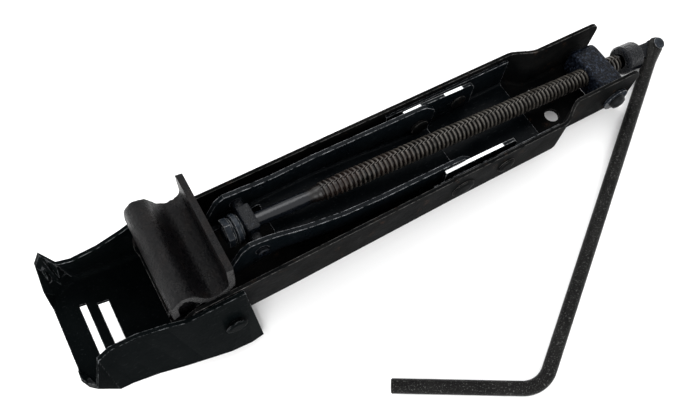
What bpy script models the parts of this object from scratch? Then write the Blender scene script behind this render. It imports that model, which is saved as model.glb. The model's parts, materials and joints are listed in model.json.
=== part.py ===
"""Folding screw jack of pressed steel, lying folded on its back with the crank swung out.

A U-shaped column carries everything. A foot is hinged outside its left end. A lifting arm is nested inside it and hinged
half way along. A lead screw joins a threaded trunnion block at the column's right end to an anchor block near the arm's
tip, so turning the crank swings the arm out of the channel.

Everything is drawn in the column's own frame, in millimetres: x runs from the foot to the crank, y across, z out of the
channel's open side. The rig then tips that frame onto the ground and scales it to metres.
"""

import math

import bmesh
import bpy
import numpy as np
from mathutils import Matrix, Vector

MM = 0.001
GAP = 0.3  # clearance between touching pieces
RUN = 0.3  # radial clearance of a pin in its hole

# Column
SHEET = 2.5
COLUMN_HALF = 35.0
COLUMN_TOP = 40.0
BACK_RISE = 5.0  # how far the back rises between the foot and the middle
JOGGLE = (338.0, 356.0)
EAR_HALF = 25.5
EAR_TOP = 45.0
EAR_END = 414.0
WEB_END = 404.0
WEB_HOLE = (357.0, 11.0, 5.5)

# Linkage points (x, z)
TRUNNION = Vector((400.0, 20.0))
ANCHOR = Vector((112.0, 44.0))
PIVOT_DROP = 10.0  # arm pivot below the line from anchor to trunnion, half way along it
SADDLE_PIVOT = Vector((68.0, 31.0))
FOOT_PIVOT = Vector((80.0, 10.0))

# Liner inside the column, around the arm pivot
LINER = (232.0, 337.0)
LINER_SHEET = 2.0
LINER_BOTTOM = BACK_RISE + 2.8
LINER_TOP = 36.0

# Cheek plates beside the arm's root: inner y, outer y, left x, right x, and where their rivets are
CHEEK = (25.0, 27.4, 243.0, 303.0)
CHEEK_RIVET = (291.0, 24.0)

# Foot
FOOT_SHEET = 2.6
FOOT_RIGHT = 96.0
FOOT_SLOTS = ((0.8, 2.1, 19.5), (12.4, 3.4, 17.0))  # centre x, half width, half length

# Arm
ARM_SHEET = 3.0
ARM_HALF = 24.5
ARM_TIP_HALF = 19.4
ARM_TIP_RADIUS = 10.5

# Saddle
SADDLE_HALF = 34.8
SADDLE_PLATE = 4.5
LUG = (25.2, 28.2)  # inner and outer y of the saddle bracket's lugs

# Screw and crank
THREAD_R = 7.0
SHANK_R = 5.0
BLOCK_HALF = (11.5, 20.2, 10.5)
BLOCK_ROUND = 12.0  # underside radius about the trunnion, so that the block clears the back as it turns
CRANK_EYE_X = 466.0
CRANK_BEND = (236.0, -171.0)
CRANK_END = (152.0, -119.0)
ROD_R = 5.0
TONGUE = (1.8, 5.2)  # half thickness and half width of the tongue in the rod's slot
SLOT = (2.1, 16.5)  # half height of the slot in the rod's end, and how far it runs down the leg
ROD_EYE = (7.0, 5.5)  # radius and half height of the rod's eye

# The ground touches the foot's lower right edge and the underside of the crank's pin.
GROUND_LEFT = Vector((FOOT_RIGHT, -37.5))
GROUND_RIGHT = Vector((466.0, 6.4))


def fresh_scene():
    for item in list(bpy.data.objects):
        bpy.data.objects.remove(item, do_unlink=True)


def steel(name, colour, roughness, metallic):
    material = bpy.data.materials.new(name)
    material.use_nodes = True
    shader = material.node_tree.nodes["Principled BSDF"]
    shader.inputs["Base Color"].default_value = (*colour, 1.0)
    shader.inputs["Roughness"].default_value = roughness
    shader.inputs["Metallic"].default_value = metallic
    return material


def rig():
    """The empty that tips the column's frame onto the ground and scales millimetres to metres."""
    slope = GROUND_RIGHT - GROUND_LEFT
    tilt = math.atan2(slope.y, slope.x)
    rest = bpy.data.objects.new("jack", None)
    bpy.context.scene.collection.objects.link(rest)
    turn = Matrix.Rotation(tilt, 4, "Y")
    contact = turn @ Vector((GROUND_LEFT.x, 0.0, GROUND_LEFT.y))
    rest.matrix_world = Matrix.Scale(MM, 4) @ Matrix.Translation((0.0, 0.0, -contact.z)) @ turn
    return rest


def add(name, mesh_bm, material, origin=(0.0, 0.0, 0.0)):
    """A named object whose origin is at a point of the column's frame."""
    bmesh.ops.recalc_face_normals(mesh_bm, faces=mesh_bm.faces)
    bmesh.ops.translate(mesh_bm, verts=mesh_bm.verts, vec=-Vector(origin))
    mesh = bpy.data.meshes.new(name)
    mesh_bm.to_mesh(mesh)
    mesh_bm.free()
    mesh.shade_smooth()
    mesh.set_sharp_from_angle(angle=math.radians(35))
    item = bpy.data.objects.new(name, mesh)
    bpy.context.scene.collection.objects.link(item)
    item.parent = STAND
    item.location = origin
    if material:
        mesh.materials.append(material)
    return item


def boolean(item, cutter, operation="DIFFERENCE"):
    cutter.hide_render = True
    cutter.display_type = "WIRE"
    modifier = item.modifiers.new(cutter.name, "BOOLEAN")
    modifier.operation = operation
    modifier.object = cutter
    return item


def frame(axis):
    """Two directions square to an axis."""
    axis = Vector(axis).normalized()
    side = axis.cross(Vector((0.0, 1.0, 0.0)))
    if side.length < 0.1:
        side = axis.cross(Vector((0.0, 0.0, 1.0)))
    side.normalize()
    return axis, side, axis.cross(side)


def loft(rings):
    """A closed solid through rings of equally many points, capped at both ends."""
    bm = bmesh.new()
    rows = [[bm.verts.new(p) for p in ring] for ring in rings]
    count = len(rows[0])
    for a, b in zip(rows, rows[1:]):
        for i in range(count):
            j = (i + 1) % count
            bm.faces.new((a[i], a[j], b[j], b[i]))
    bm.faces.new(rows[0][::-1])
    bm.faces.new(rows[-1])
    return bm


def turned(centre, axis, profile, segments=24, bore=0.0):
    """A solid of revolution: profile is (distance along the axis, radius); bore makes it a sleeve."""
    axis, u, v = frame(axis)
    bm = bmesh.new()
    rings = []
    outline = list(profile)
    if bore:
        outline = outline + [(outline[-1][0], bore), (outline[0][0], bore)]
    for along, radius in outline:
        ring = []
        for k in range(segments):
            a = 2.0 * math.pi * k / segments
            ring.append(bm.verts.new(Vector(centre) + axis * along + (u * math.cos(a) + v * math.sin(a)) * radius))
        rings.append(ring)
    pairs = list(zip(rings, rings[1:]))
    if bore:
        pairs.append((rings[-1], rings[0]))
    for a, b in pairs:
        for k in range(segments):
            m = (k + 1) % segments
            bm.faces.new((a[k], a[m], b[m], b[k]))
    if not bore:
        bm.faces.new(rings[0][::-1])
        bm.faces.new(rings[-1])
    return bm


def prism(outline, low, high):
    """An (x, z) outline extruded along y."""
    return loft([[(x, y, z) for x, z in outline] for y in (low, high)])


def box(low, high, turn=None, centre=None):
    bm = bmesh.new()
    bmesh.ops.create_cube(bm, size=1.0)
    low, high = Vector(low), Vector(high)
    size = high - low
    bmesh.ops.scale(bm, verts=bm.verts, vec=size)
    bmesh.ops.translate(bm, verts=bm.verts, vec=(low + high) / 2)
    if turn:
        bmesh.ops.rotate(bm, verts=bm.verts, cent=centre, matrix=turn)
    return bm


def arc(centre, radius, start, end, steps=8):
    """Points of an arc in degrees."""
    angles = np.radians(np.linspace(start, end, steps + 1))
    return [(centre[0] + radius * math.cos(a), centre[1] + radius * math.sin(a)) for a in angles]


def channel_ring(x, half_top, half_bottom, bottom, top, sheet, bend=5.0, steps=4):
    """One cross-section of a U channel whose walls may lean."""

    def side(half_t, half_b, floor, radius):
        corner = arc((half_b - radius, floor + radius), radius, -90, 0, steps)
        return corner + [(half_t, top)]

    outer = side(half_top, half_bottom, bottom, bend)
    inner = side(half_top - sheet, half_bottom - sheet, bottom + sheet, bend - sheet)
    right = [(y, z) for y, z in outer]
    ring = [(-y, z) for y, z in reversed(outer)] + right
    ring += [(y, z) for y, z in reversed(inner)] + [(-y, z) for y, z in inner]
    return [(x, y, z) for y, z in ring]


def ease(a, b, t):
    return a + (b - a) * t * t * (3.0 - 2.0 * t)


def cut_round(item, label, centre, radius, low, high):
    """A round hole across the piece, along y."""
    hole = turned((centre[0], 0.0, centre[1]), (0, 1, 0), [(low, radius), (high, radius)])
    boolean(item, add(f"{label}_cutter", hole, None))


def column():
    rings = []
    for x in (40.0, 130.0):
        rings.append(channel_ring(x, COLUMN_HALF, COLUMN_HALF, 0.0, COLUMN_TOP, SHEET))
    rings.append(channel_ring(250.0, COLUMN_HALF, COLUMN_HALF, BACK_RISE, COLUMN_TOP, SHEET))
    for t in np.linspace(0.0, 1.0, 7):
        x = JOGGLE[0] + (JOGGLE[1] - JOGGLE[0]) * t
        half = ease(COLUMN_HALF, EAR_HALF, t)
        rings.append(channel_ring(x, half, half, BACK_RISE, ease(COLUMN_TOP, EAR_TOP, t), SHEET))
    rings.append(channel_ring(EAR_END, EAR_HALF, EAR_HALF, BACK_RISE, EAR_TOP, SHEET))
    item = add("column", loft(rings), PAINT)

    reach = 35.5  # the left end is round about the foot pivot, so that the foot can swing past it
    outline = [(30.0, -10.0), (30.0, 60.0), (70.0, 60.0)]
    outline += arc(FOOT_PIVOT, reach, 110, 200, 14)
    outline += [(FOOT_PIVOT.x - 20.0, -10.0)]
    boolean(item, add("column_end_cutter", prism(outline, -60.0, 60.0), None))

    corner = 8.0
    outline = [(EAR_END - corner, EAR_TOP + 5.0), (EAR_END + 5.0, EAR_TOP + 5.0), (EAR_END + 5.0, 20.0)]
    outline += arc((EAR_END - corner, EAR_TOP - corner), corner, 0, 90, 6)
    boolean(item, add("ear_corner_cutter", prism(outline, -40.0, 40.0), None))
    web = box((WEB_END, -20.5, -5.0), (EAR_END + 5.0, 20.5, BACK_RISE + 6.0))
    boolean(item, add("web_end_cutter", web, None))
    notch = box((392.0, -9.5, -10.0), (EAR_END + 10.0, 9.5, BACK_RISE + 8.0))
    boolean(item, add("web_notch_cutter", notch, None))
    for side in (-1, 1):
        x, y, radius = WEB_HOLE
        hole = turned((x, side * y, 0.0), (0, 0, 1), [(-5.0, radius), (15.0, radius)])
        boolean(item, add(f"web_hole_cutter_{side}", hole, None))
    cut_round(item, "column_pivot", PIVOT, 5.0 + RUN, -50.0, 50.0)
    cut_round(item, "column_cheek", CHEEK_RIVET, 4.0 + RUN, -50.0, 50.0)
    cut_round(item, "column_foot", FOOT_PIVOT, 4.0 + RUN, -50.0, 50.0)
    cut_round(item, "column_trunnion", TRUNNION, 6.0 + RUN, -50.0, 50.0)


def liner():
    half = COLUMN_HALF - SHEET - GAP
    rings = [channel_ring(x, half, half, LINER_BOTTOM, LINER_TOP, LINER_SHEET, 4.0) for x in LINER]
    item = add("column_liner", loft(rings), PAINT)
    cut_round(item, "liner_pivot", PIVOT, 5.0 + RUN, -50.0, 50.0)
    cut_round(item, "liner_cheek", CHEEK_RIVET, 4.0 + RUN, -50.0, 50.0)


def foot():
    near = (
        (-15.0, 30.0, 25.0, 1.4, 9.0),
        (-11.0, 38.0, 31.0, 0.0, 16.0),
        (-5.0, 46.0, 39.0, -2.0, 31.0),
        (2.0, 34.5, 43.0, -4.6, 39.6),
        (10.0, 32.0, 42.5, -7.4, 40.0),
    )
    far = (
        (-15.0, 34.0, 27.0, 1.4, 13.0),
        (-11.0, 44.0, 33.0, 0.0, 30.0),
        (-5.0, 44.0, 38.0, -2.0, 41.0),
        (2.0, 33.5, 42.0, -4.6, 40.4),
        (10.0, 31.8, 42.5, -7.4, 40.0),
    )
    walls = (
        (26.0, 32.4, 43.2, -13.0, 40.0),
        (42.0, 35.2, 45.3, -18.6, 40.0),
        (54.0, 38.2, 46.4, -22.8, 40.0),
        (60.0, 38.3, 47.0, -24.9, 40.0),
        (72.0, 38.4, 48.0, -29.1, 40.0),
        (86.0, 38.4, 47.5, -34.0, 40.0),
        (FOOT_RIGHT + 4.0, 38.4, 44.6, -38.9, 40.0),
    )
    rings = []
    for this, other in zip(near + walls, far + walls):
        pair = [channel_ring(x, top, low, floor, rim, FOOT_SHEET, 6.0) for x, top, low, floor, rim in (this, other)]
        rings.append([a if a[1] < 0.0 else b for a, b in zip(*pair)])
    item = add("foot", loft(rings), PAINT, (FOOT_PIVOT.x, 0.0, FOOT_PIVOT.y))
    outline = [(FOOT_RIGHT - 6.0, 60.0), (FOOT_RIGHT, -37.0), (FOOT_RIGHT, -60.0), (FOOT_RIGHT + 20.0, -60.0)]
    outline += [(FOOT_RIGHT + 20.0, 60.0)]
    boolean(item, add("foot_end_cutter", prism(outline, -60.0, 60.0), None))
    for k, (x, half, length) in enumerate(FOOT_SLOTS):
        slot = box((x - half, -length, -30.0), (x + half, length, 20.0))
        boolean(item, add(f"foot_slot_cutter_{k}", slot, None))
    cut_round(item, "foot_pivot", FOOT_PIVOT, 4.0 + RUN, -60.0, 60.0)


def foot_rivets():
    for side, label in ((-1, "near"), (1, "far")):
        axis = (0, side, 0)
        centre = (FOOT_PIVOT.x, 0.0, FOOT_PIVOT.y)
        profile = [(30.2, 4.6), (30.8, 5.4), (32.2, 5.4), (32.2, 4.0), (44.5, 4.0), (44.5, 7.4), (45.3, 7.0), (46.1, 4.8)]
        add(f"foot_rivet_{label}", turned(centre, axis, profile), PAINT, centre)
        ring = [(COLUMN_HALF + GAP, 8.0), (COLUMN_HALF + GAP + 3.0, 8.0)]
        add(f"foot_washer_{label}", turned(centre, axis, ring, bore=4.0 + RUN), BARE, centre)


def arm_side_outline():
    """The arm's side view, which trims its ends and its top edge."""
    tip = arc(SADDLE_PIVOT, ARM_TIP_RADIUS, 270, 90, 12)
    top = [(76.0, 39.6), (84.0, 36.2), (91.0, 37.4), (99.0, 52.0), (105.0, 56.0), (118.0, 54.0), (140.0, 48.5), (165.0, 45.5)]
    top += [(195.0, 43.5), (PIVOT.x, 42.0), (PIVOT.x + 4.0, 41.0), (PIVOT.x + 11.6, 34.0)]
    end = arc(PIVOT, 11.6, 0, -80, 8)
    return tip + top + end + [(PIVOT.x - 12.0, 0.0), (120.0, 0.0), (90.0, 16.0)]


def arm():
    stations = (
        (50.0, ARM_TIP_HALF, 21.6),
        (90.0, ARM_TIP_HALF, 21.6),
        (112.0, ARM_TIP_HALF + 0.2, 27.0),
        (124.0, ARM_TIP_HALF + 0.8, 30.0),
        (145.0, 22.2, 27.0),
        (168.0, 24.0, 23.5),
        (195.0, ARM_HALF, 19.5),
        (PIVOT.x - 6.0, ARM_HALF, 11.0),
        (PIVOT.x + 20.0, ARM_HALF, 11.0),
    )
    rings = [channel_ring(x, half, half, floor, 62.0, ARM_SHEET) for x, half, floor in stations]
    item = add("arm", loft(rings), PAINT, (PIVOT.x, 0.0, PIVOT.y))
    boolean(item, add("arm_outline_cutter", prism(arm_side_outline(), -60.0, 60.0), None), "INTERSECT")
    window = box((87.0, -14.0, 10.0), (126.0, 14.0, 40.0))
    boolean(item, add("arm_window_cutter", window, None))
    cut_round(item, "arm_pivot", PIVOT, 5.0 + RUN, -50.0, 50.0)
    cut_round(item, "arm_saddle", SADDLE_PIVOT, 4.5 + RUN, -50.0, 50.0)
    cut_round(item, "arm_anchor", ANCHOR, 4.0 + RUN, -50.0, 50.0)


def arm_pivots():
    """A shouldered rivet and a spacer bush on each side; the screw passes between them."""
    centre = (PIVOT.x, 0.0, PIVOT.y)
    inner = ARM_HALF - ARM_SHEET - GAP
    outer = COLUMN_HALF + GAP
    for side, label in ((-1, "near"), (1, "far")):
        profile = [(inner - 2.6, 5.0), (inner - 2.0, 6.8), (inner, 6.8), (inner, 5.0), (outer, 5.0), (outer, 9.0)]
        profile += [(outer + 0.9, 8.4), (outer + 1.6, 5.0)]
        add(f"arm_pivot_{label}", turned(centre, (0, side, 0), profile), PAINT, centre)
        half = COLUMN_HALF - SHEET - GAP - LINER_SHEET
        ring = [(CHEEK[1] + GAP, 9.5), (half - GAP, 9.5)]
        add(f"arm_bush_{label}", turned(centre, (0, side, 0), ring, bore=5.0 + RUN), BARE, centre)


def cheeks():
    """Two plates beside the arm's root that keep it central, riveted through the column."""
    x, z = CHEEK_RIVET
    outline = [(CHEEK[2], 12.5), (CHEEK[3] - 4.0, 12.5), (CHEEK[3], 16.5), (CHEEK[3], 34.0)]
    outline += [(CHEEK[3] - 3.0, 38.0), (CHEEK[3] - 40.0, 39.6), (CHEEK[2], 39.6)]
    half = COLUMN_HALF - SHEET - GAP - LINER_SHEET
    for side, label in ((-1, "near"), (1, "far")):
        low, high = sorted((side * CHEEK[0], side * CHEEK[1]))
        cheek = add(f"cheek_{label}", prism(outline, low, high), PAINT)
        cut_round(cheek, f"cheek_pivot_{label}", PIVOT, 5.0 + RUN, -50.0, 50.0)
        cut_round(cheek, f"cheek_hole_{label}", CHEEK_RIVET, 4.0 + RUN, -50.0, 50.0)
        profile = [(CHEEK[0] - GAP - 1.4, 4.6), (CHEEK[0] - GAP - 0.8, 6.0), (CHEEK[0] - GAP, 6.0)]
        profile += [(CHEEK[0] - GAP, 4.0), (CHEEK[1] + GAP, 4.0), (CHEEK[1] + GAP, 6.5), (half - GAP, 6.5)]
        profile += [(half - GAP, 4.0), (COLUMN_HALF + GAP, 4.0), (COLUMN_HALF + GAP, 7.0)]
        profile += [(COLUMN_HALF + 1.4, 6.2), (COLUMN_HALF + 2.2, 3.6)]
        add(f"cheek_rivet_{label}", turned((x, 0.0, z), (0, side, 0), profile), PAINT, (x, 0.0, z))


def saddle_outline():
    """The plate's wavy profile, as a strip of even thickness about its centre line."""
    line = [(50.2, 44.6), (50.6, 52.0)] + arc((57.0, 58.0), 6.3, 170, 25, 8)
    line += [(66.0, 53.0), (69.5, 48.2)] + arc((74.8, 50.5), 4.2, 215, 300, 4)
    line += [(82.0, 48.4)] + arc((80.5, 54.5), 5.6, -50, -5, 4) + [(86.4, 63.0), (86.6, 74.5)]
    half = SADDLE_PLATE / 2
    points = [Vector(p) for p in line]
    left, right = [], []
    for i, p in enumerate(points):
        before = points[max(i - 1, 0)]
        after = points[min(i + 1, len(points) - 1)]
        along = (after - before).normalized()
        normal = Vector((-along.y, along.x))
        left.append(tuple(p + normal * half))
        right.append(tuple(p - normal * half))
    return left + right[::-1]


def saddle():
    centre = (SADDLE_PIVOT.x, 0.0, SADDLE_PIVOT.y)
    add("saddle_plate", prism(saddle_outline(), -SADDLE_HALF, SADDLE_HALF), CAST, centre)

    lug = arc(SADDLE_PIVOT, 11.4, -100, -5, 8) + [(83.0, 43.6), (49.5, 43.6)]
    lug += arc((54.0, 32.0), 8.0, 150, 250, 6)
    bracket = add("saddle_bracket", prism(lug, -LUG[1], LUG[1]), CAST, centre)
    hollow = box((30.0, -LUG[0], 0.0), (100.0, LUG[0], 41.9))
    boolean(bracket, add("bracket_hollow_cutter", hollow, None))
    cut_round(bracket, "bracket_pin", SADDLE_PIVOT, 4.5 + RUN, -50.0, 50.0)

    profile = [(-LUG[1] - 2.8, 5.5), (-LUG[1] - 2.2, 7.0), (-LUG[1] - GAP, 7.0), (-LUG[1] - GAP, 4.5), (31.4, 4.5)]
    add("saddle_pin", turned(centre, (0, 1, 0), profile), BARE, centre)
    clip = [(LUG[1] + GAP, 8.0), (LUG[1] + GAP + 1.6, 8.0)]
    add("saddle_pin_clip", turned(centre, (0, 1, 0), clip, bore=4.5 + RUN), BARE, centre)
    for side, label in ((-1, "near"), (1, "far")):
        ring = [(ARM_TIP_HALF + GAP, 8.0), (LUG[0] - GAP, 8.0)]
        add(f"saddle_bush_{label}", turned(centre, (0, side, 0), ring, bore=4.5 + RUN), BARE, centre)


def tipped_block(half, centre):
    """A box square to the screw, with its edges broken."""
    low = [c - h for c, h in zip(centre, half)]
    high = [c + h for c, h in zip(centre, half)]
    turn = Matrix.Rotation(SCREW_TILT, 3, "Y")
    bm = box(low, high, turn, Vector(centre))
    bmesh.ops.bevel(bm, geom=list(bm.edges), offset=1.6, segments=2, profile=0.5, affect="EDGES")
    return bm


def anchor():
    centre = (ANCHOR.x, 0.0, ANCHOR.y)
    block = add("anchor_block", tipped_block((4.5, 9.3, 10.0), centre), CAST, centre)
    pins = turned(centre, (0, 1, 0), [(-22.5, 3.4), (-22.0, 4.0), (22.0, 4.0), (22.5, 3.4)])
    boolean(block, add("anchor_pins_cutter", pins, None), "UNION")
    bore = turned(centre, SCREW, [(-20.0, SHANK_R + RUN), (20.0, SHANK_R + RUN)])
    boolean(block, add("anchor_bore_cutter", bore, None))
    stack = (("thrust_washer_thin", -6.1, -4.9, 8.5), ("thrust_washer", -9.9, -6.4, 10.0), ("seat_washer", -11.5, -10.2, 8.5))
    for label, low, high, radius in stack:
        ring = [(low, radius - 0.5), (low + 0.5, radius), (high - 0.5, radius), (high, radius - 0.5)]
        add(label, turned(centre, SCREW, ring, bore=SHANK_R + RUN), BARE, centre)


def lead_screw():
    centre = (ANCHOR.x, 0.0, ANCHOR.y)
    collar = CLEVIS_START - GAP
    profile = [(-17.2, 4.0), (-16.4, SHANK_R), (40.0, SHANK_R), (42.0, 4.4), (45.0, 4.4), (49.0, THREAD_R)]
    profile += [(collar, THREAD_R), (collar, 5.5), (CLEVIS_START + 12.0, 5.5), (CLEVIS_START + 13.0, 4.5)]
    add("lead_screw", turned(centre, SCREW, profile), THREAD, centre)
    nut = add("end_nut", turned(centre, SCREW, [(-15.8, 9.2), (-11.8, 9.2)], segments=6), BARE, centre)
    hole = turned(centre, SCREW, [(-20.0, SHANK_R + RUN), (-5.0, SHANK_R + RUN)])
    boolean(nut, add("nut_bore_cutter", hole, None))


def crank_clevis():
    """A collar on the screw's end with a flat tongue that the crank's slotted end straddles."""
    eye = Vector(EYE)
    start = Vector((ANCHOR.x, 0.0, ANCHOR.y)) + SCREW * CLEVIS_START
    collar = [(0.0, 9.8), (1.4, 11.2), (14.0, 11.2), (17.0, 8.6), (19.0, 6.4)]
    item = add("crank_clevis", turned(start, SCREW, collar), CAST, eye)
    across = HINGE.cross(SCREW)
    depth = (eye - start).length
    thick, half = TONGUE
    outline = [(8.0, -half), (depth, -half)]
    outline += [(depth + half * math.cos(a), half * math.sin(a)) for a in np.radians(np.linspace(-80, 80, 9))]
    outline += [(depth, half), (8.0, half)]
    rings = []
    for height in (-thick, thick):
        rings.append([start + SCREW * a + across * b + HINGE * height for a, b in outline])
    boolean(item, add("tongue_cutter", loft(rings), None), "UNION")
    socket = turned(start, SCREW, [(-5.0, 5.5 + RUN), (13.6, 5.5 + RUN)])
    boolean(item, add("clevis_socket_cutter", socket, None))
    hole = turned(eye, HINGE, [(-20.0, 3.0 + RUN), (20.0, 3.0 + RUN)])
    boolean(item, add("clevis_hole_cutter", hole, None))

    top = ROD_EYE[1] + GAP
    profile = [(-top - 1.2, 3.4), (-top - 0.7, 4.6), (-top, 4.6), (-top, 3.0), (top, 3.0), (top, 4.6)]
    profile += [(top + 0.7, 4.6), (top + 1.2, 3.4)]
    add("crank_pin", turned(eye, HINGE, profile), BARE, eye)


def crank_route():
    """The rod's centre line: straight leg, round bend, straight grip, with both lower ends resting on the ground."""
    eye = Vector(EYE)
    bend = Vector((*CRANK_BEND, ground_height(CRANK_BEND[0]) + ROD_R * 1.05))
    end = Vector((*CRANK_END, ground_height(CRANK_END[0]) + ROD_R * 1.05))
    leg = (bend - eye).normalized()
    grip = (end - bend).normalized()
    radius = 20.0
    half = leg.angle(grip) / 2
    reach = radius * math.tan(half)
    start, stop = bend - leg * reach, bend + grip * reach
    normal = (grip - leg).normalized()
    centre = bend + normal * (radius / math.cos(half))
    points = [eye + leg * 4.0] + [eye + (start - eye) * t for t in (0.35, 0.7)]
    steps = 10
    for k in range(steps + 1):
        a = (start - centre).slerp(stop - centre, k / steps)
        points.append(centre + a.normalized() * radius)
    points += [stop + (end - stop) * 0.5, end]
    return points, leg


def crank_handle():
    points, leg = crank_route()
    eye = Vector(EYE)
    rings = []
    side = HINGE
    for i, p in enumerate(points):
        along = (points[min(i + 1, len(points) - 1)] - points[max(i - 1, 0)]).normalized()
        side = (side - along * side.dot(along)).normalized()
        other = along.cross(side)
        angles = np.radians(np.arange(16) * 22.5)
        rings.append([p + (side * math.cos(a) + other * math.sin(a)) * ROD_R for a in angles])
    item = add("crank_handle", loft(rings), ROD, eye)
    radius, half = ROD_EYE
    disc = turned(eye, HINGE, [(-half, radius - 1.2), (1.2 - half, radius), (half - 1.2, radius), (half, radius - 1.2)])
    boolean(item, add("crank_eye_cutter", disc, None), "UNION")
    across = HINGE.cross(leg)
    rings = []
    for along in (-20.0, SLOT[1]):
        corners = ((-20, -SLOT[0]), (20, -SLOT[0]), (20, SLOT[0]), (-20, SLOT[0]))
        rings.append([eye + leg * along + across * b + HINGE * h for b, h in corners])
    boolean(item, add("crank_slot_cutter", loft(rings), None))
    hole = turned(eye, HINGE, [(-12.0, 3.0 + RUN), (12.0, 3.0 + RUN)])
    boolean(item, add("crank_hole_cutter", hole, None))


def trunnion():
    centre = (TRUNNION.x, 0.0, TRUNNION.y)
    half_x, half_y, half_z = BLOCK_HALF
    outline = [(-half_x, half_z), (-half_x, -half_z + 1.5)] + arc((0.0, 0.0), BLOCK_ROUND, -112, -6, 8)
    outline += [(half_x, half_z)]
    rings = []
    for y, share in ((-half_y, 0.93), (-half_y + 1.2, 1.0), (half_y - 1.2, 1.0), (half_y, 0.93)):
        rings.append([(TRUNNION.x + x * share, y, TRUNNION.y + z * share) for x, z in outline])
    body = loft(rings)
    bmesh.ops.rotate(body, verts=body.verts, cent=centre, matrix=Matrix.Rotation(SCREW_TILT, 3, "Y"))
    block = add("trunnion_block", body, CAST, centre)
    pins = turned(centre, (0, 1, 0), [(-32.6, 5.0), (-31.6, 6.0), (31.6, 6.0), (32.6, 5.0)])
    boolean(block, add("trunnion_pins_cutter", pins, None), "UNION")
    bore = turned(centre, SCREW, [(-30.0, THREAD_R + RUN), (30.0, THREAD_R + RUN)])
    boolean(block, add("trunnion_bore_cutter", bore, None))
    for side, label in ((-1, "near"), (1, "far")):
        ring = [(EAR_HALF + GAP, 10.0), (EAR_HALF + 2.3, 10.0)]
        add(f"trunnion_washer_{label}", turned(centre, (0, side, 0), ring, bore=6.0 + RUN), BARE, centre)


def ground_height(x):
    """Height of the ground line at x in the column's frame."""
    t = (x - GROUND_LEFT.x) / (GROUND_RIGHT.x - GROUND_LEFT.x)
    return GROUND_LEFT.y + (GROUND_RIGHT.y - GROUND_LEFT.y) * t


def centre_on_origin():
    """Moves the rig so that the middle of the jack's footprint is the origin."""
    bpy.context.view_layer.update()
    depsgraph = bpy.context.evaluated_depsgraph_get()
    low = Vector((math.inf,) * 3)
    high = Vector((-math.inf,) * 3)
    for item in bpy.context.scene.objects:
        if item.type != "MESH" or item.hide_render:
            continue
        shape = item.evaluated_get(depsgraph)
        for vertex in shape.data.vertices:
            place = item.matrix_world @ vertex.co
            low = Vector(map(min, low, place))
            high = Vector(map(max, high, place))
    shift = Vector((-(low.x + high.x) / 2, -(low.y + high.y) / 2, -low.z))
    STAND.matrix_world = Matrix.Translation(shift) @ STAND.matrix_world


fresh_scene()
PAINT = steel("black_paint", (0.012, 0.014, 0.017), 0.28, 0.0)
CAST = steel("dark_cast_steel", (0.035, 0.032, 0.031), 0.5, 0.4)
THREAD = steel("oiled_thread_steel", (0.11, 0.095, 0.08), 0.4, 0.9)
BARE = steel("dull_bare_steel", (0.10, 0.11, 0.12), 0.4, 0.9)
ROD = steel("phosphated_rod", (0.03, 0.032, 0.03), 0.55, 0.5)

line = TRUNNION - ANCHOR
SCREW = Vector((line.x, 0.0, line.y)).normalized()
SCREW_TILT = math.atan2(-line.y, line.x)
PIVOT = (TRUNNION + ANCHOR) / 2 + Vector((line.y, -line.x)).normalized() * PIVOT_DROP
EYE_ALONG = (CRANK_EYE_X - ANCHOR.x) / SCREW.x
CLEVIS_START = EYE_ALONG - 38.0
EYE = Vector((ANCHOR.x, 0.0, ANCHOR.y)) + SCREW * EYE_ALONG
STAND = rig()
HINGE = -SCREW.cross(crank_route()[1]).normalized()

column()
liner()
foot()
foot_rivets()
arm()
arm_pivots()
cheeks()
saddle()
anchor()
lead_screw()
crank_clevis()
crank_handle()
trunnion()
centre_on_origin()
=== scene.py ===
"""Looks for the folding screw jack: worn black paint, a real thread, rough castings and a speckled rod.

Shapes are drawn in the column's frame, in millimetres: x from the foot to the crank, y across and z out of
the channel. Materials are in metres, as the world is.
"""

import json
import math

import bmesh
import bpy
import numpy as np
from mathutils import Matrix, Vector, noise


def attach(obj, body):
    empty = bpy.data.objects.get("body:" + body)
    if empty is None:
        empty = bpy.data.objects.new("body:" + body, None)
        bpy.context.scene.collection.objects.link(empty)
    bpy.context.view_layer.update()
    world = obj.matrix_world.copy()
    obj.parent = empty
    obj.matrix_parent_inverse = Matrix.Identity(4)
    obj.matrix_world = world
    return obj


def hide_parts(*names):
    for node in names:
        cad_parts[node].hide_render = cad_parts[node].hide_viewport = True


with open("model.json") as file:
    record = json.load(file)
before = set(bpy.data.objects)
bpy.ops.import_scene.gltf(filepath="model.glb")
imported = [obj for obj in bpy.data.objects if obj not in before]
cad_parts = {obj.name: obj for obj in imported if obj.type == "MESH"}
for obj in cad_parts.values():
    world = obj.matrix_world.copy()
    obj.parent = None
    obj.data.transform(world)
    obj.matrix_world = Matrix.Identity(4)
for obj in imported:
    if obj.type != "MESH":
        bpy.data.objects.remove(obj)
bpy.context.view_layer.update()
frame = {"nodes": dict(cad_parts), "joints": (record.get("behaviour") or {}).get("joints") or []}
NODES = frame["nodes"]
JOINTS = {joint["name"]: joint for joint in frame["joints"]}

# Points of the CAD in the column's frame
TRUNNION = Vector((400.0, 0.0, 20.0))
ANCHOR = Vector((112.0, 0.0, 44.0))
FOOT = Vector((80.0, 0.0, 10.0))
SCREW = (TRUNNION - ANCHOR).normalized()
THREAD_R = 7.0
THREAD_START = 47.5  # distance from the anchor along the screw
PITCH = 3.5
CLEVIS_REACH = 38.4  # from the crank's hinge back to where the thread ends
ROD_R = 5.0
ROD_EYE_R = 7.0
SLOT_HALF = 2.1  # half the gap in the rod's end
SLOT_END = 16.5  # how far the gap runs down the leg
PIN_HOLE = 3.2

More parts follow.
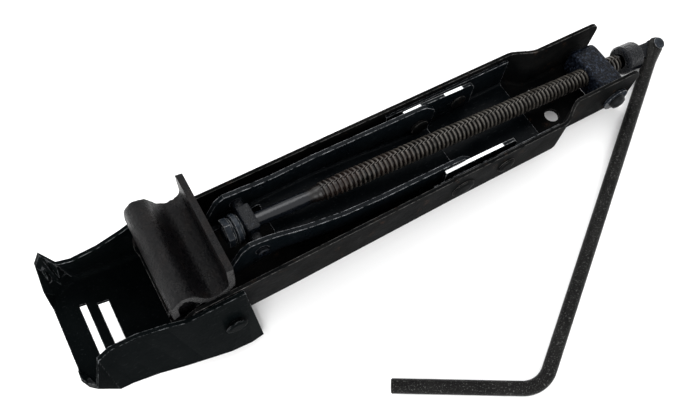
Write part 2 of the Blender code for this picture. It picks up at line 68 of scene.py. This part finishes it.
# The ground line in the column's frame, and the crank's bend and end on it
GROUND = (96.0, -37.5, 466.0, 6.4)
CRANK_BEND = (236.0, -171.0)
CRANK_END = (152.0, -119.0)


def column_to_world():
    """Where the column's frame is, from two of its pivots."""
    near = Vector(JOINTS["foot_hinge"]["pos_m"])
    far = Vector(JOINTS["trunnion_swing"]["pos_m"])
    drawn = math.atan2(TRUNNION.z - FOOT.z, TRUNNION.x - FOOT.x)
    tilt = drawn - math.atan2(far.z - near.z, far.x - near.x)
    place = Matrix.Translation(far) @ Matrix.Rotation(tilt, 4, "Y") @ Matrix.Scale(0.001, 4)
    return place @ Matrix.Translation(-TRUNNION)


WORLD = column_to_world()
COLUMN = WORLD.inverted()
EYE = COLUMN @ Vector(JOINTS["crank_swing"]["pos_m"])
HINGE = (COLUMN.to_3x3() @ Vector(JOINTS["crank_swing"]["axis"])).normalized()


# ---------------------------------------------------------------- materials


class Nodes:
    """A short way to write a node tree."""

    def __init__(self, name):
        self.material = bpy.data.materials.new(name)
        self.material.use_nodes = True
        self.tree = self.material.node_tree
        self.shader = self.tree.nodes["Principled BSDF"]
        coords = self.tree.nodes.new("ShaderNodeTexCoord")
        self.place = coords.outputs["Object"]

    def link(self, source, socket):
        self.tree.links.new(source, socket)

    def vector(self, kind, a, b):
        """A vector operation on a node's output and a fixed vector."""
        node = self.tree.nodes.new("ShaderNodeVectorMath")
        node.operation = kind
        self.link(a, node.inputs[0])
        if b is not None:
            node.inputs[1].default_value = b
        return node.outputs["Value" if kind in ("DOT_PRODUCT", "LENGTH") else "Vector"]

    def noise(self, scale, detail=4.0, rough=0.6, stretch=None, distort=0.0):
        vector = self.place
        if stretch:
            mapping = self.tree.nodes.new("ShaderNodeMapping")
            mapping.inputs["Scale"].default_value = stretch
            self.link(self.place, mapping.inputs["Vector"])
            vector = mapping.outputs["Vector"]
        node = self.tree.nodes.new("ShaderNodeTexNoise")
        node.inputs["Scale"].default_value = scale
        node.inputs["Detail"].default_value = detail
        node.inputs["Roughness"].default_value = rough
        node.inputs["Distortion"].default_value = distort
        self.link(vector, node.inputs["Vector"])
        return node.outputs["Fac"]

    def cells(self, scale):
        node = self.tree.nodes.new("ShaderNodeTexVoronoi")
        node.inputs["Scale"].default_value = scale
        self.link(self.place, node.inputs["Vector"])
        return node.outputs["Distance"]

    def ramp(self, source, low, high, a=0.0, b=1.0):
        node = self.tree.nodes.new("ShaderNodeMapRange")
        for key, value in zip(("From Min", "From Max", "To Min", "To Max"), (low, high, a, b)):
            node.inputs[key].default_value = value
        self.link(source, node.inputs["Value"])
        return node.outputs["Result"]

    def math(self, kind, a, b):
        node = self.tree.nodes.new("ShaderNodeMath")
        node.operation = kind
        node.use_clamp = True
        for socket, value in zip(node.inputs, (a, b)):
            if isinstance(value, float):
                socket.default_value = value
            else:
                self.link(value, socket)
        return node.outputs["Value"]

    def mix(self, factor, a, b):
        node = self.tree.nodes.new("ShaderNodeMix")
        node.data_type = "RGBA"
        self.link(factor, node.inputs["Factor"])
        for socket, value in ((node.inputs["A"], a), (node.inputs["B"], b)):
            if isinstance(value, tuple):
                socket.default_value = (*value, 1.0)
            else:
                self.link(value, socket)
        return node.outputs["Result"]

    def edges(self, width):
        """How far a point is bent away from its face by a rounding of this width: 1 on a sharp edge."""
        bevel = self.tree.nodes.new("ShaderNodeBevel")
        bevel.samples = 6
        bevel.inputs["Radius"].default_value = width
        plain = self.tree.nodes.new("ShaderNodeNewGeometry")
        dot = self.tree.nodes.new("ShaderNodeVectorMath")
        dot.operation = "DOT_PRODUCT"
        self.link(bevel.outputs["Normal"], dot.inputs[0])
        self.link(plain.outputs["Normal"], dot.inputs[1])
        return self.ramp(dot.outputs["Value"], 0.985, 0.80), bevel.outputs["Normal"]

    def painted_highlight_band(self, spans):
        """1 on faces that look up, between pairs of distances along the column: the mask for a painted
        highlight.
        """
        parts = self.tree.nodes.new("ShaderNodeSeparateXYZ")
        self.link(self.place, parts.inputs["Vector"])
        plain = self.tree.nodes.new("ShaderNodeNewGeometry")
        facing = self.tree.nodes.new("ShaderNodeSeparateXYZ")
        self.link(plain.outputs["Normal"], facing.inputs["Vector"])
        total = 0.0
        for a, b in spans:
            a, b = ((WORLD @ Vector((x, 0.0, 40.0))).x for x in (a, b))
            low = self.ramp(parts.outputs["X"], a - 0.0006, a + 0.0006)
            high = self.ramp(parts.outputs["X"], b + 0.0006, b - 0.0006)
            total = self.math("ADD", self.math("MULTIPLY", low, high), total)
        return self.math("MULTIPLY", total, self.ramp(facing.outputs["Z"], 0.80, 0.92))

    def bump(self, height, strength, distance, under=None):
        node = self.tree.nodes.new("ShaderNodeBump")
        node.inputs["Strength"].default_value = strength
        node.inputs["Distance"].default_value = distance
        self.link(height, node.inputs["Height"])
        if under:
            self.link(under, node.inputs["Normal"])
        return node.outputs["Normal"]

    def finish(self, colour, rough, metal, normal, mirror):
        self.link(colour, self.shader.inputs["Base Color"])
        self.link(rough, self.shader.inputs["Roughness"])
        if isinstance(metal, float):
            self.shader.inputs["Metallic"].default_value = metal
        else:
            self.link(metal, self.shader.inputs["Metallic"])
        self.shader.inputs["Specular IOR Level"].default_value = mirror
        self.link(normal, self.shader.inputs["Normal"])
        return self.material


def paint(name, body, faded, wear_and_highlight, rough, wear, mirror, rust=0.0, painted_glints=()):
    """Black paint: faded in patches, rubbed to metal on the edges, with fine scratches.

    Glints are pairs of distances along the column where up-facing faces are painted near white: a painted
    highlight along the top edges, not bare metal.
    """
    n = Nodes(name)
    patches = n.ramp(n.noise(26.0, 6.0, 0.65), 0.42, 0.68)
    colour = n.mix(patches, body, faded)
    if rust:
        spots = n.ramp(n.noise(120.0, 5.0, 0.7), 0.60, 0.72, 0.0, rust)
        colour = n.mix(spots, colour, (0.075, 0.042, 0.026))
    scratches = n.ramp(n.noise(18.0, 3.0, 0.6, (9.0, 70.0, 60.0)), 0.64, 0.72, 0.0, 0.05)
    colour = n.mix(scratches, colour, wear_and_highlight)
    edge, rounded = n.edges(0.0009)
    chips = n.ramp(n.noise(260.0, 5.0, 0.7), 1.0 - wear, 1.02 - wear * 0.6)
    bare = n.math("MULTIPLY", edge, chips)
    # Rubbed edges take the wear colour. On the cheeks that colour is made bright, so there it is partly
    # real wear and partly a painted highlight along the edges.
    colour = n.mix(bare, colour, wear_and_highlight)
    # Painted highlight: a near-white strip on up-facing faces between the given distances, standing in for
    # the reflection along the top edges.
    if painted_glints:
        colour = n.mix(n.painted_highlight_band(painted_glints), colour, (0.90, 0.92, 0.93))
    uneven = n.ramp(n.noise(45.0, 5.0, 0.7), 0.3, 0.7, rough, rough + 0.2)
    uneven = n.math("ADD", uneven, n.ramp(patches, 0.0, 1.0, 0.0, 0.12))
    peel = n.bump(n.noise(420.0, 4.0, 0.6), 0.25, 0.0006, rounded)
    dents = n.bump(n.noise(38.0, 2.0, 0.5), 0.35, 0.0018, peel)
    return n.finish(colour, uneven, n.math("MULTIPLY", bare, 0.5), dents, mirror)


def cast(name, dark, light, rough, speckle, rust=0.0, mirror=0.06):
    """Rough cast or forged steel with pale speckles."""
    n = Nodes(name)
    grains = n.ramp(n.noise(520.0, 6.0, 0.75, distort=0.6), 0.5 - speckle * 0.12, 0.66)
    colour = n.mix(grains, dark, light)
    if rust:
        spots = n.ramp(n.noise(70.0, 5.0, 0.7), 0.50, 0.70, 0.0, rust)
        colour = n.mix(spots, colour, (0.016, 0.010, 0.0075))
    edge, rounded = n.edges(0.0007)
    rubbed = n.math("MULTIPLY", edge, n.ramp(n.noise(300.0, 4.0), 0.4, 0.6, 0.0, 0.8))
    colour = n.mix(rubbed, colour, light)
    relief = n.bump(n.noise(480.0, 6.0, 0.7), 0.6, 0.0011, rounded)
    pits = n.bump(n.cells(620.0), 0.3, 0.0006, relief)
    uneven = n.ramp(n.noise(130.0, 4.0), 0.3, 0.7, rough - 0.12, rough + 0.15)
    return n.finish(colour, uneven, 0.05, pits, mirror)


def thread_steel():
    """Oily steel: paler on the crests, darker in the roots, a rusty stretch where the thread begins."""
    n = Nodes("oiled_thread")
    start = WORLD @ (ANCHOR + SCREW * THREAD_START)
    axis = (WORLD.to_3x3() @ SCREW).normalized()
    away = n.vector("SUBTRACT", n.place, start)
    along = n.vector("DOT_PRODUCT", away, axis)
    radius = n.vector("LENGTH", n.vector("CROSS_PRODUCT", away, axis), None)
    crest = n.ramp(radius, 0.0058, 0.0069)
    grime = n.ramp(n.noise(240.0, 5.0, 0.7), 0.35, 0.62)
    pale = n.mix(grime, (0.014, 0.012, 0.010), (0.085, 0.078, 0.068))
    colour = n.mix(crest, (0.0014, 0.0013, 0.0013), pale)
    stretch = n.math("MULTIPLY", n.ramp(along, -0.01, 0.02), n.ramp(along, 0.11, 0.04))
    stain = n.math("MULTIPLY", stretch, n.ramp(n.noise(60.0, 3.0), 0.35, 0.6, 0.0, 0.75))
    colour = n.mix(stain, colour, (0.016, 0.009, 0.007))
    neck = n.ramp(along, -0.008, -0.004, 1.0, 0.0)
    colour = n.mix(neck, colour, (0.004, 0.005, 0.007))
    rough = n.ramp(n.noise(90.0, 4.0), 0.3, 0.7, 0.26, 0.46)
    rough = n.math("SUBTRACT", rough, n.ramp(neck, 0.0, 1.0, 0.0, 0.18))
    return n.finish(colour, rough, 0.15, n.bump(n.noise(700.0, 4.0), 0.2, 0.0005), 0.40)


def bare_steel(name, dark, light, rough):
    """Dull steel in two tones, pale where its edges are rubbed."""
    n = Nodes(name)
    colour = n.mix(n.ramp(n.noise(180.0, 6.0, 0.7), 0.35, 0.65), dark, light)
    edge, rounded = n.edges(0.0006)
    rubbed = n.math("MULTIPLY", edge, n.ramp(n.noise(350.0), 0.4, 0.6))
    colour = n.mix(rubbed, colour, (0.45, 0.45, 0.45))
    uneven = n.ramp(n.noise(75.0, 4.0), 0.3, 0.7, rough - 0.08, rough + 0.12)
    return n.finish(colour, uneven, 0.15, n.bump(n.noise(500.0), 0.25, 0.0005, rounded), 0.12)


def rod_finish():
    """Phosphated rod: matt grey-black with pale pinpricks."""
    n = Nodes("phosphated_rod_finish")
    patches = n.ramp(n.noise(60.0, 5.0, 0.6), 0.35, 0.65)
    tone = n.mix(patches, (0.0025, 0.0025, 0.0025), (0.0065, 0.0065, 0.0062))
    flecks = n.ramp(n.noise(900.0, 5.0, 0.8), 0.57, 0.64, 0.0, 0.85)
    colour = n.mix(flecks, tone, (0.11, 0.11, 0.105))
    dark = n.ramp(n.noise(420.0, 4.0, 0.7), 0.62, 0.70, 0.0, 0.8)
    colour = n.mix(dark, colour, (0.010, 0.010, 0.010))
    relief = n.bump(n.noise(650.0, 6.0, 0.75), 0.45, 0.0008)
    uneven = n.ramp(n.noise(100.0, 4.0), 0.3, 0.7, 0.34, 0.55)
    return n.finish(colour, uneven, 0.05, relief, 0.05)


COLUMN_BLACK = ((0.0018, 0.0021, 0.0023), (0.0062, 0.0062, 0.0060))
INNER_BLACK = ((0.0015, 0.0024, 0.0032), (0.0030, 0.0042, 0.0052))
FOOT_BLACK = ((0.0012, 0.0019, 0.0021), (0.0026, 0.0034, 0.0036))
# Edge-wear colour of the cheeks, made bright so that their rubbed edges also act as painted highlights.
CHEEK_WEAR_AND_HIGHLIGHT = (0.6, 0.61, 0.62)
COLUMN_PAINT = paint("column_paint", *COLUMN_BLACK, (0.16, 0.155, 0.15), 0.34, 0.62, 0.006, 0.25)
INNER_PAINT = paint("inner_paint", *INNER_BLACK, (0.42, 0.43, 0.45), 0.18, 0.60, 0.03)
# The cheeks get painted highlights on their top faces over these spans of the column.
NEAR_CHEEK, FAR_CHEEK = (
    paint(f"cheek_paint_{label}", *INNER_BLACK, CHEEK_WEAR_AND_HIGHLIGHT, 0.18, 0.6, 0.03, 0.0, spans)
    for label, spans in (("near", ((240.0, 290.0),)), ("far", ((240.0, 257.0), (277.0, 292.0))))
)
FOOT_PAINT = paint("foot_paint", *FOOT_BLACK, (0.24, 0.25, 0.26), 0.24, 0.55, 0.004)
SADDLE_TONES = ((0.0022, 0.0022, 0.0026), (0.0085, 0.0078, 0.0080))
SADDLE_STEEL = cast("saddle_steel", *SADDLE_TONES, 0.30, 0.0, 0.25, 0.09)
BLOCK_STEEL = cast("block_steel", (0.0012, 0.0018, 0.0034), (0.034, 0.044, 0.066), 0.32, 0.0)
CLEVIS_STEEL = cast("clevis_steel", (0.0014, 0.0020, 0.0032), (0.013, 0.017, 0.024), 0.16, -0.6, 0.0, 0.15)
THREAD_STEEL = thread_steel()
WASHER_STEEL = bare_steel("washer_steel", (0.003, 0.0045, 0.0065), (0.018, 0.023, 0.030), 0.26)
RIVET_STEEL = bare_steel("rivet_steel", (0.002, 0.0024, 0.0028), (0.007, 0.008, 0.009), 0.38)
ROD_STEEL = rod_finish()


# ---------------------------------------------------------------- mesh tools


def piece(name, bm, material, body, slot, *nodes):
    """A new piece drawn in the column's frame, riding on a CAD body in place of these nodes."""
    bmesh.ops.recalc_face_normals(bm, faces=bm.faces)
    bmesh.ops.transform(bm, verts=bm.verts, matrix=WORLD)
    mesh = bpy.data.meshes.new(name)
    bm.to_mesh(mesh)
    bm.free()
    mesh.materials.append(material)
    mesh.shade_smooth()
    mesh.set_sharp_from_angle(angle=math.radians(42))
    item = bpy.data.objects.new(name, mesh)
    bpy.context.scene.collection.objects.link(item)
    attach(item, body)
    if nodes:
        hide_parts(*nodes)
    return item


def loft(rings):
    """A closed skin over rings of points, with a flat cap at each end."""
    bm = bmesh.new()
    rows = [[bm.verts.new(p) for p in ring] for ring in rings]
    count = len(rows[0])
    for a, b in zip(rows, rows[1:]):
        for i in range(count):
            j = (i + 1) % count
            bm.faces.new((a[i], a[j], b[j], b[i]))
    bm.faces.new(rows[0][::-1])
    bm.faces.new(rows[-1])
    return bm


def across(axis):
    """Two directions square to an axis."""
    axis = Vector(axis).normalized()
    side = axis.cross(Vector((0.0, 1.0, 0.0)))
    if side.length < 0.1:
        side = axis.cross(Vector((0.0, 0.0, 1.0)))
    side.normalize()
    return side, axis.cross(side)


def cut(item, name, bm):
    """Takes a shape away from a piece, and leaves no modifier behind."""
    bmesh.ops.recalc_face_normals(bm, faces=bm.faces)
    bmesh.ops.transform(bm, verts=bm.verts, matrix=WORLD)
    mesh = bpy.data.meshes.new(name)
    bm.to_mesh(mesh)
    bm.free()
    cutter = bpy.data.objects.new(name, mesh)
    bpy.context.scene.collection.objects.link(cutter)
    modifier = item.modifiers.new(name, "BOOLEAN")
    modifier.operation = "DIFFERENCE"
    modifier.object = cutter
    bpy.context.view_layer.update()
    evaluated = item.evaluated_get(bpy.context.evaluated_depsgraph_get())
    result = bpy.data.meshes.new_from_object(evaluated)
    item.modifiers.clear()
    item.data = result
    bpy.data.objects.remove(cutter)
    return item


def cylinder(centre, axis, radius, low, high, segments=40):
    u, v = across(axis)
    axis = Vector(axis).normalized()
    around = [2.0 * math.pi * k / segments for k in range(segments)]
    rim = [(u * math.cos(a) + v * math.sin(a)) * radius for a in around]
    return loft([[Vector(centre) + axis * d + p for p in rim] for d in (low, high)])


# ---------------------------------------------------------------- lead screw


def lead_screw():
    """Smooth neck, then a trapezoidal thread out to the crank's collar."""
    u, v = across(SCREW)
    segments = 40
    root = 5.1
    start, stop = THREAD_START, (EYE - ANCHOR).length - CLEVIS_REACH
    neck = ((-17.1, 3.6), (-16.3, 4.9), (-3.0, 4.9), (38.0, 4.9), (40.5, 4.5), (start - 2.0, 4.5))
    chewed, rusty = start + 17.0, start + 46.0
    form = ((0.00, 0.0), (0.20, 0.0), (0.34, 1.0), (0.66, 1.0), (0.80, 0.0))
    rings = []

    def ring(points):
        rings.append([ANCHOR + SCREW * d + (u * math.cos(a) + v * math.sin(a)) * r for d, r, a in points])

    def plain(distance, radius):
        ring([(distance, radius, 2.0 * math.pi * k / segments) for k in range(segments)])

    for distance, radius in (*neck, (start - 1.0, root)):
        plain(distance, radius)
    turns = int((stop - start) / PITCH)
    for turn in range(turns):
        for share, height in form:
            points = []
            for k in range(segments):
                angle = k / segments
                done = turn + share + angle
                distance = start + done * PITCH
                grown = min(1.0, done / 1.5, (turns - done) / 1.5 + 0.4)
                wear = 0.12 * noise.noise(Vector((distance * 0.6, angle * 9.0, 0.0)))
                if distance < chewed:
                    grown *= 0.72
                elif distance < rusty:
                    wear -= 0.55 * abs(noise.noise(Vector((distance * 1.3, angle * 14.0, 5.0))))
                tall = (THREAD_R - 0.12 - root + wear) * height * max(grown, 0.0)
                points.append((distance, root + tall, 2.0 * math.pi * angle))
            ring(points)
    piece("lead_screw_threaded", loft(rings), THREAD_STEEL, "screw", "oiled_thread_steel", "lead_screw")


# ---------------------------------------------------------------- crank


def crank():
    """The rod: slotted eye, long leg, round bend and short grip, its lower ends resting on the ground."""
    x0, z0, x1, z1 = GROUND
    bend = Vector((*CRANK_BEND, 0.0))
    end = Vector((*CRANK_END, 0.0))
    for point in (bend, end):
        point.z = z0 + (z1 - z0) * (point.x - x0) / (x1 - x0) + ROD_R * 1.05
    leg = (bend - EYE).normalized()
    grip = (end - bend).normalized()
    half = leg.angle(grip) / 2.0
    radius = 20.0
    reach = radius * math.tan(half)
    start, stop = bend - leg * reach, bend + grip * reach
    centre = bend + (grip - leg).normalized() * (radius / math.cos(half))
    ends = (-ROD_EYE_R, -6.7, -5.8, -4.4, -2.6, -0.8, 1.5, 4.5, 8.0, 12.0, 16.0)
    points = [EYE + leg * d for d in ends]
    points += [EYE.lerp(start, t) for t in np.linspace(0.1, 1.0, 40)]
    turn = [(start - centre).slerp(stop - centre, k / 20.0).normalized() for k in range(1, 21)]
    points += [centre + out * radius for out in turn]
    points += [stop.lerp(end, t) for t in np.linspace(0.05, 0.97, 16)] + [end - grip * 0.8, end]
    rings = []
    side = HINGE.copy()
    count = 32
    for i, p in enumerate(points):
        along = (points[min(i + 1, len(points) - 1)] - points[max(i - 1, 0)]).normalized()
        side = (side - along * side.dot(along)).normalized()
        other = along.cross(side)
        out = (p - EYE).dot(leg)
        thick = wide = ROD_R
        if i < len(ends):
            round_end = math.sqrt(max(ROD_EYE_R**2 - min(out, 0.0) ** 2, 0.3))
            waist = ROD_R + (ROD_EYE_R - ROD_R) * max(0.0, 1.0 - max(out, 0.0) / 15.0)
            wide = min(round_end, waist)
            thick = (ROD_R + 0.35) * (min(1.0, 0.30 + wide / ROD_EYE_R) if out < 0 else 1.0)
            thick = ROD_R + (thick - ROD_R) * max(0.0, 1.0 - max(out, 0.0) / 14.0)
        if i == len(points) - 1:
            thick = wide = ROD_R - 0.7
        ring = []
        for k in range(count):
            a = 2.0 * math.pi * k / count
            rough = 1.0 - 0.012 * abs(noise.noise(p * 0.35 + Vector((k * 0.3, 0.0, 0.0))))
            ring.append(p + (side * math.cos(a) * thick + other * math.sin(a) * wide) * rough)
        rings.append(ring)
    rod = piece("crank_rod", loft(rings), ROD_STEEL, "crank", "phosphated_rod", "crank_handle")
    slot = []
    for d in (-20.0, SLOT_END):
        corners = ((-20, -SLOT_HALF), (20, -SLOT_HALF), (20, SLOT_HALF), (-20, SLOT_HALF))
        slot.append([EYE + leg * d + HINGE.cross(leg) * b + HINGE * h for b, h in corners])
    cut(rod, "rod_slot", loft(slot))
    cut(rod, "rod_hole", cylinder(EYE, HINGE, PIN_HOLE, -12.0, 12.0))


# ---------------------------------------------------------------- saddle


def smooth_line(points, steps=6):
    """A Catmull-Rom curve through points."""
    points = [Vector(p) for p in points]
    points = [points[0] * 2 - points[1]] + points + [points[-1] * 2 - points[-2]]
    line = []
    for a, b, c, d in zip(points, points[1:], points[2:], points[3:]):
        for k in range(steps):
            t = k / steps
            bend = (2 * a - 5 * b + 4 * c - d) * t * t + (3 * b - a - 3 * c + d) * t**3
            line.append(0.5 * ((2 * b) + (c - a) * t + bend))
    line.append(points[-2])
    return line


def saddle_plate():
    """The waved plate, dented, its ends sheared ragged."""
    line = smooth_line(
        (
            (50.2, 44.9),
            (50.1, 49.5),
            (50.5, 55.0),
            (52.3, 60.6),
            (57.0, 64.2),
            (61.4, 62.3),
            (64.4, 56.4),
            (68.0, 50.1),
            (72.4, 46.8),
            (77.0, 46.7),
            (82.0, 48.6),
            (85.4, 52.0),
            (86.3, 58.0),
            (86.4, 66.0),
            (86.6, 74.3),
        )
    )
    half = 2.1
    middle = Vector((68.0, 54.0))
    left, right = [], []
    for i, p in enumerate(line):
        along = (line[min(i + 1, len(line) - 1)] - line[max(i - 1, 0)]).normalized()
        normal = Vector((-along.y, along.x))
        left.append(p + normal * half)
        right.append(p - normal * half)

    outline = left + right[::-1]
    rings = []
    count = 46
    for row in range(count + 1):
        t = row / count
        y = -34.4 + 68.8 * t
        end = max(0.0, 1.0 - min(row, count - row) / 2.0)
        ring = []
        for x, z in outline:
            spot = Vector((x * 0.22, y * 0.12, z * 0.22))
            dent = 0.22 * noise.noise(spot) + 0.1 * noise.noise(spot * 4.0)
            seed = 7.0 if t > 0.5 else 3.0
            ragged = end * 0.8 * noise.noise(Vector((x * 0.45, z * 0.45, seed)))
            shrink = 0.985 if row in (0, count) else 1.0
            px = middle.x + (x - middle.x) * shrink + dent * 0.4
            pz = middle.y + (z - middle.y) * shrink + dent * 0.4
            ring.append((px, y + ragged * (1.0 if t < 0.5 else -1.0), pz))
        rings.append(ring)
    piece("saddle_waved_plate", loft(rings), SADDLE_STEEL, "saddle", "dark_cast_steel", "saddle_plate")


# ---------------------------------------------------------------- trunnion block


def trunnion_block():
    """A rough casting: rounded, pitted, bored for the screw, with a pin each side."""
    turn = Matrix.Rotation(math.atan2(-SCREW.z, SCREW.x), 3, "Y")
    bm = bmesh.new()
    bmesh.ops.create_cube(bm, size=2.0)
    bmesh.ops.subdivide_edges(bm, edges=list(bm.edges), cuts=22, use_grid_fill=True)
    half = Vector((11.2, 19.9, 10.2))
    edge = 2.6
    belly = 11.4  # radius of the underside about the pins, so that the block clears the back as it turns
    for vert in bm.verts:
        p = vert.co
        core = Vector([max(-1 + edge / h, min(1 - edge / h, c)) * h for c, h in zip(p, half)])
        full = Vector([c * h for c, h in zip(p, half)])
        away = full - core
        if away.length > 1e-6:
            away = away.normalized() * edge
        q = core + away
        if p.z > 0.5:
            q.z -= 1.3 * max(0.0, abs(p.y) - 0.72) / 0.28
        elif q.x > -4.0 and math.hypot(q.x, q.z) > belly:
            reach = belly / math.hypot(q.x, q.z)
            q.x, q.z = q.x * reach, q.z * reach
        grain = 0.3 * noise.noise(q * 0.9) + 0.16 * noise.noise(q * 2.6)
        q -= q.normalized() * (0.25 + abs(grain))
        vert.co = TRUNNION + turn @ q
    item = piece("trunnion_casting", bm, BLOCK_STEEL, "trunnion", "dark_cast_steel", "trunnion_block")
    cut(item, "screw_bore", cylinder(TRUNNION, SCREW, THREAD_R + 0.25, -30.0, 30.0))
    profile = ((17.5, 5.9), (28.2, 5.9), (30.2, 5.8), (31.4, 5.2), (32.2, 3.4), (32.5, 1.0))
    around = np.linspace(0.0, 2.0 * math.pi, 33)[:-1]
    for side, label in ((-1.0, "near"), (1.0, "far")):
        axis = Vector((0.0, side, 0.0))
        u, v = across(axis)
        rings = []
        for distance, radius in profile:
            centre = TRUNNION + axis * distance
            rings.append([centre + (u * math.cos(a) + v * math.sin(a)) * radius for a in around])
        piece(f"trunnion_pin_{label}", loft(rings), RIVET_STEEL, "trunnion", "dark_cast_steel")


# ---------------------------------------------------------------- carried-over nodes

FINISH = {
    "column": COLUMN_PAINT,
    "column_liner": INNER_PAINT,
    "foot": FOOT_PAINT,
    "foot_rivet_near": FOOT_PAINT,
    "foot_rivet_far": FOOT_PAINT,
    "foot_washer_near": WASHER_STEEL,
    "foot_washer_far": WASHER_STEEL,
    "arm": INNER_PAINT,
    "arm_pivot_near": COLUMN_PAINT,
    "arm_pivot_far": COLUMN_PAINT,
    "cheek_near": NEAR_CHEEK,
    "cheek_far": FAR_CHEEK,
    "cheek_rivet_near": COLUMN_PAINT,
    "cheek_rivet_far": COLUMN_PAINT,
    "arm_bush_near": WASHER_STEEL,
    "arm_bush_far": WASHER_STEEL,
    "saddle_bracket": SADDLE_STEEL,
    "saddle_bush_near": WASHER_STEEL,
    "saddle_bush_far": WASHER_STEEL,
    "saddle_pin": RIVET_STEEL,
    "saddle_pin_clip": WASHER_STEEL,
    "anchor_block": CLEVIS_STEEL,
    "thrust_washer_thin": WASHER_STEEL,
    "thrust_washer": WASHER_STEEL,
    "seat_washer": WASHER_STEEL,
    "end_nut": WASHER_STEEL,
    "trunnion_washer_near": WASHER_STEEL,
    "trunnion_washer_far": WASHER_STEEL,
    "crank_clevis": CLEVIS_STEEL,
    "crank_pin": WASHER_STEEL,
}
for node, finish in FINISH.items():
    mesh = NODES[node].data
    mesh.materials.clear()
    mesh.materials.append(finish)

lead_screw()
crank()
saddle_plate()
trunnion_block()


# ---------------------------------------------------------------- stage


def stage():
    """A pale floor, soft light and the camera."""
    floor = bpy.data.meshes.new("floor")
    size = 6.0
    corners = [(-size, -size, 0), (size, -size, 0), (size, size, 0), (-size, size, 0)]
    floor.from_pydata(corners, [], [(0, 1, 2, 3)])
    ground = bpy.data.objects.new("floor", floor)
    bpy.context.scene.collection.objects.link(ground)
    ground.location.z = -0.0002
    material = bpy.data.materials.new("pale_floor")
    material.use_nodes = True
    shader = material.node_tree.nodes["Principled BSDF"]
    shader.inputs["Base Color"].default_value = (0.94, 0.94, 0.94, 1.0)
    shader.inputs["Roughness"].default_value = 0.9
    shader.inputs["Specular IOR Level"].default_value = 0.1
    floor.materials.append(material)

    world = bpy.data.worlds.new("studio")
    bpy.context.scene.world = world
    world.use_nodes = True
    sky = world.node_tree.nodes["Background"]
    sky.inputs["Color"].default_value = (1.0, 1.0, 1.0, 1.0)
    sky.inputs["Strength"].default_value = 1.25
    bpy.context.scene.view_settings.view_transform = "Standard"

    for name, place, aim, size, power in (
        ("key", (0.45, 0.65, 1.15), (0.0, 0.05, 0.03), 0.9, 9.0),
        ("front", (-0.55, -0.95, 0.7), (0.0, 0.0, 0.03), 0.9, 9.0),
        ("side", (-0.9, 0.45, 0.55), (0.0, 0.05, 0.03), 0.35, 3.0),
        ("glint_far", (-0.35, 0.55, 1.00), (0.0, 0.0, 0.03), 0.10, 1.6),
        ("glint_near", (-0.30, -0.75, 0.90), (0.0, 0.0, 0.03), 0.10, 1.4),
    ):
        light = bpy.data.lights.new(name, "AREA")
        light.size = size
        light.energy = power
        lamp = bpy.data.objects.new(name, light)
        bpy.context.scene.collection.objects.link(lamp)
        lamp.location = place
        lamp.rotation_euler = (Vector(aim) - Vector(place)).to_track_quat("-Z", "Y").to_euler()

    camera = bpy.data.cameras.new("camera")
    camera.lens = 35.25
    camera.sensor_width = 36.0
    camera.clip_start = 0.01
    eye = bpy.data.objects.new("camera", camera)
    bpy.context.scene.collection.objects.link(eye)
    eye.location = (-0.12278, -0.11096, 0.46787)
    eye.rotation_euler = tuple(math.radians(a) for a in (22.730, 2.200, -30.127))
    bpy.context.scene.camera = eye


stage()
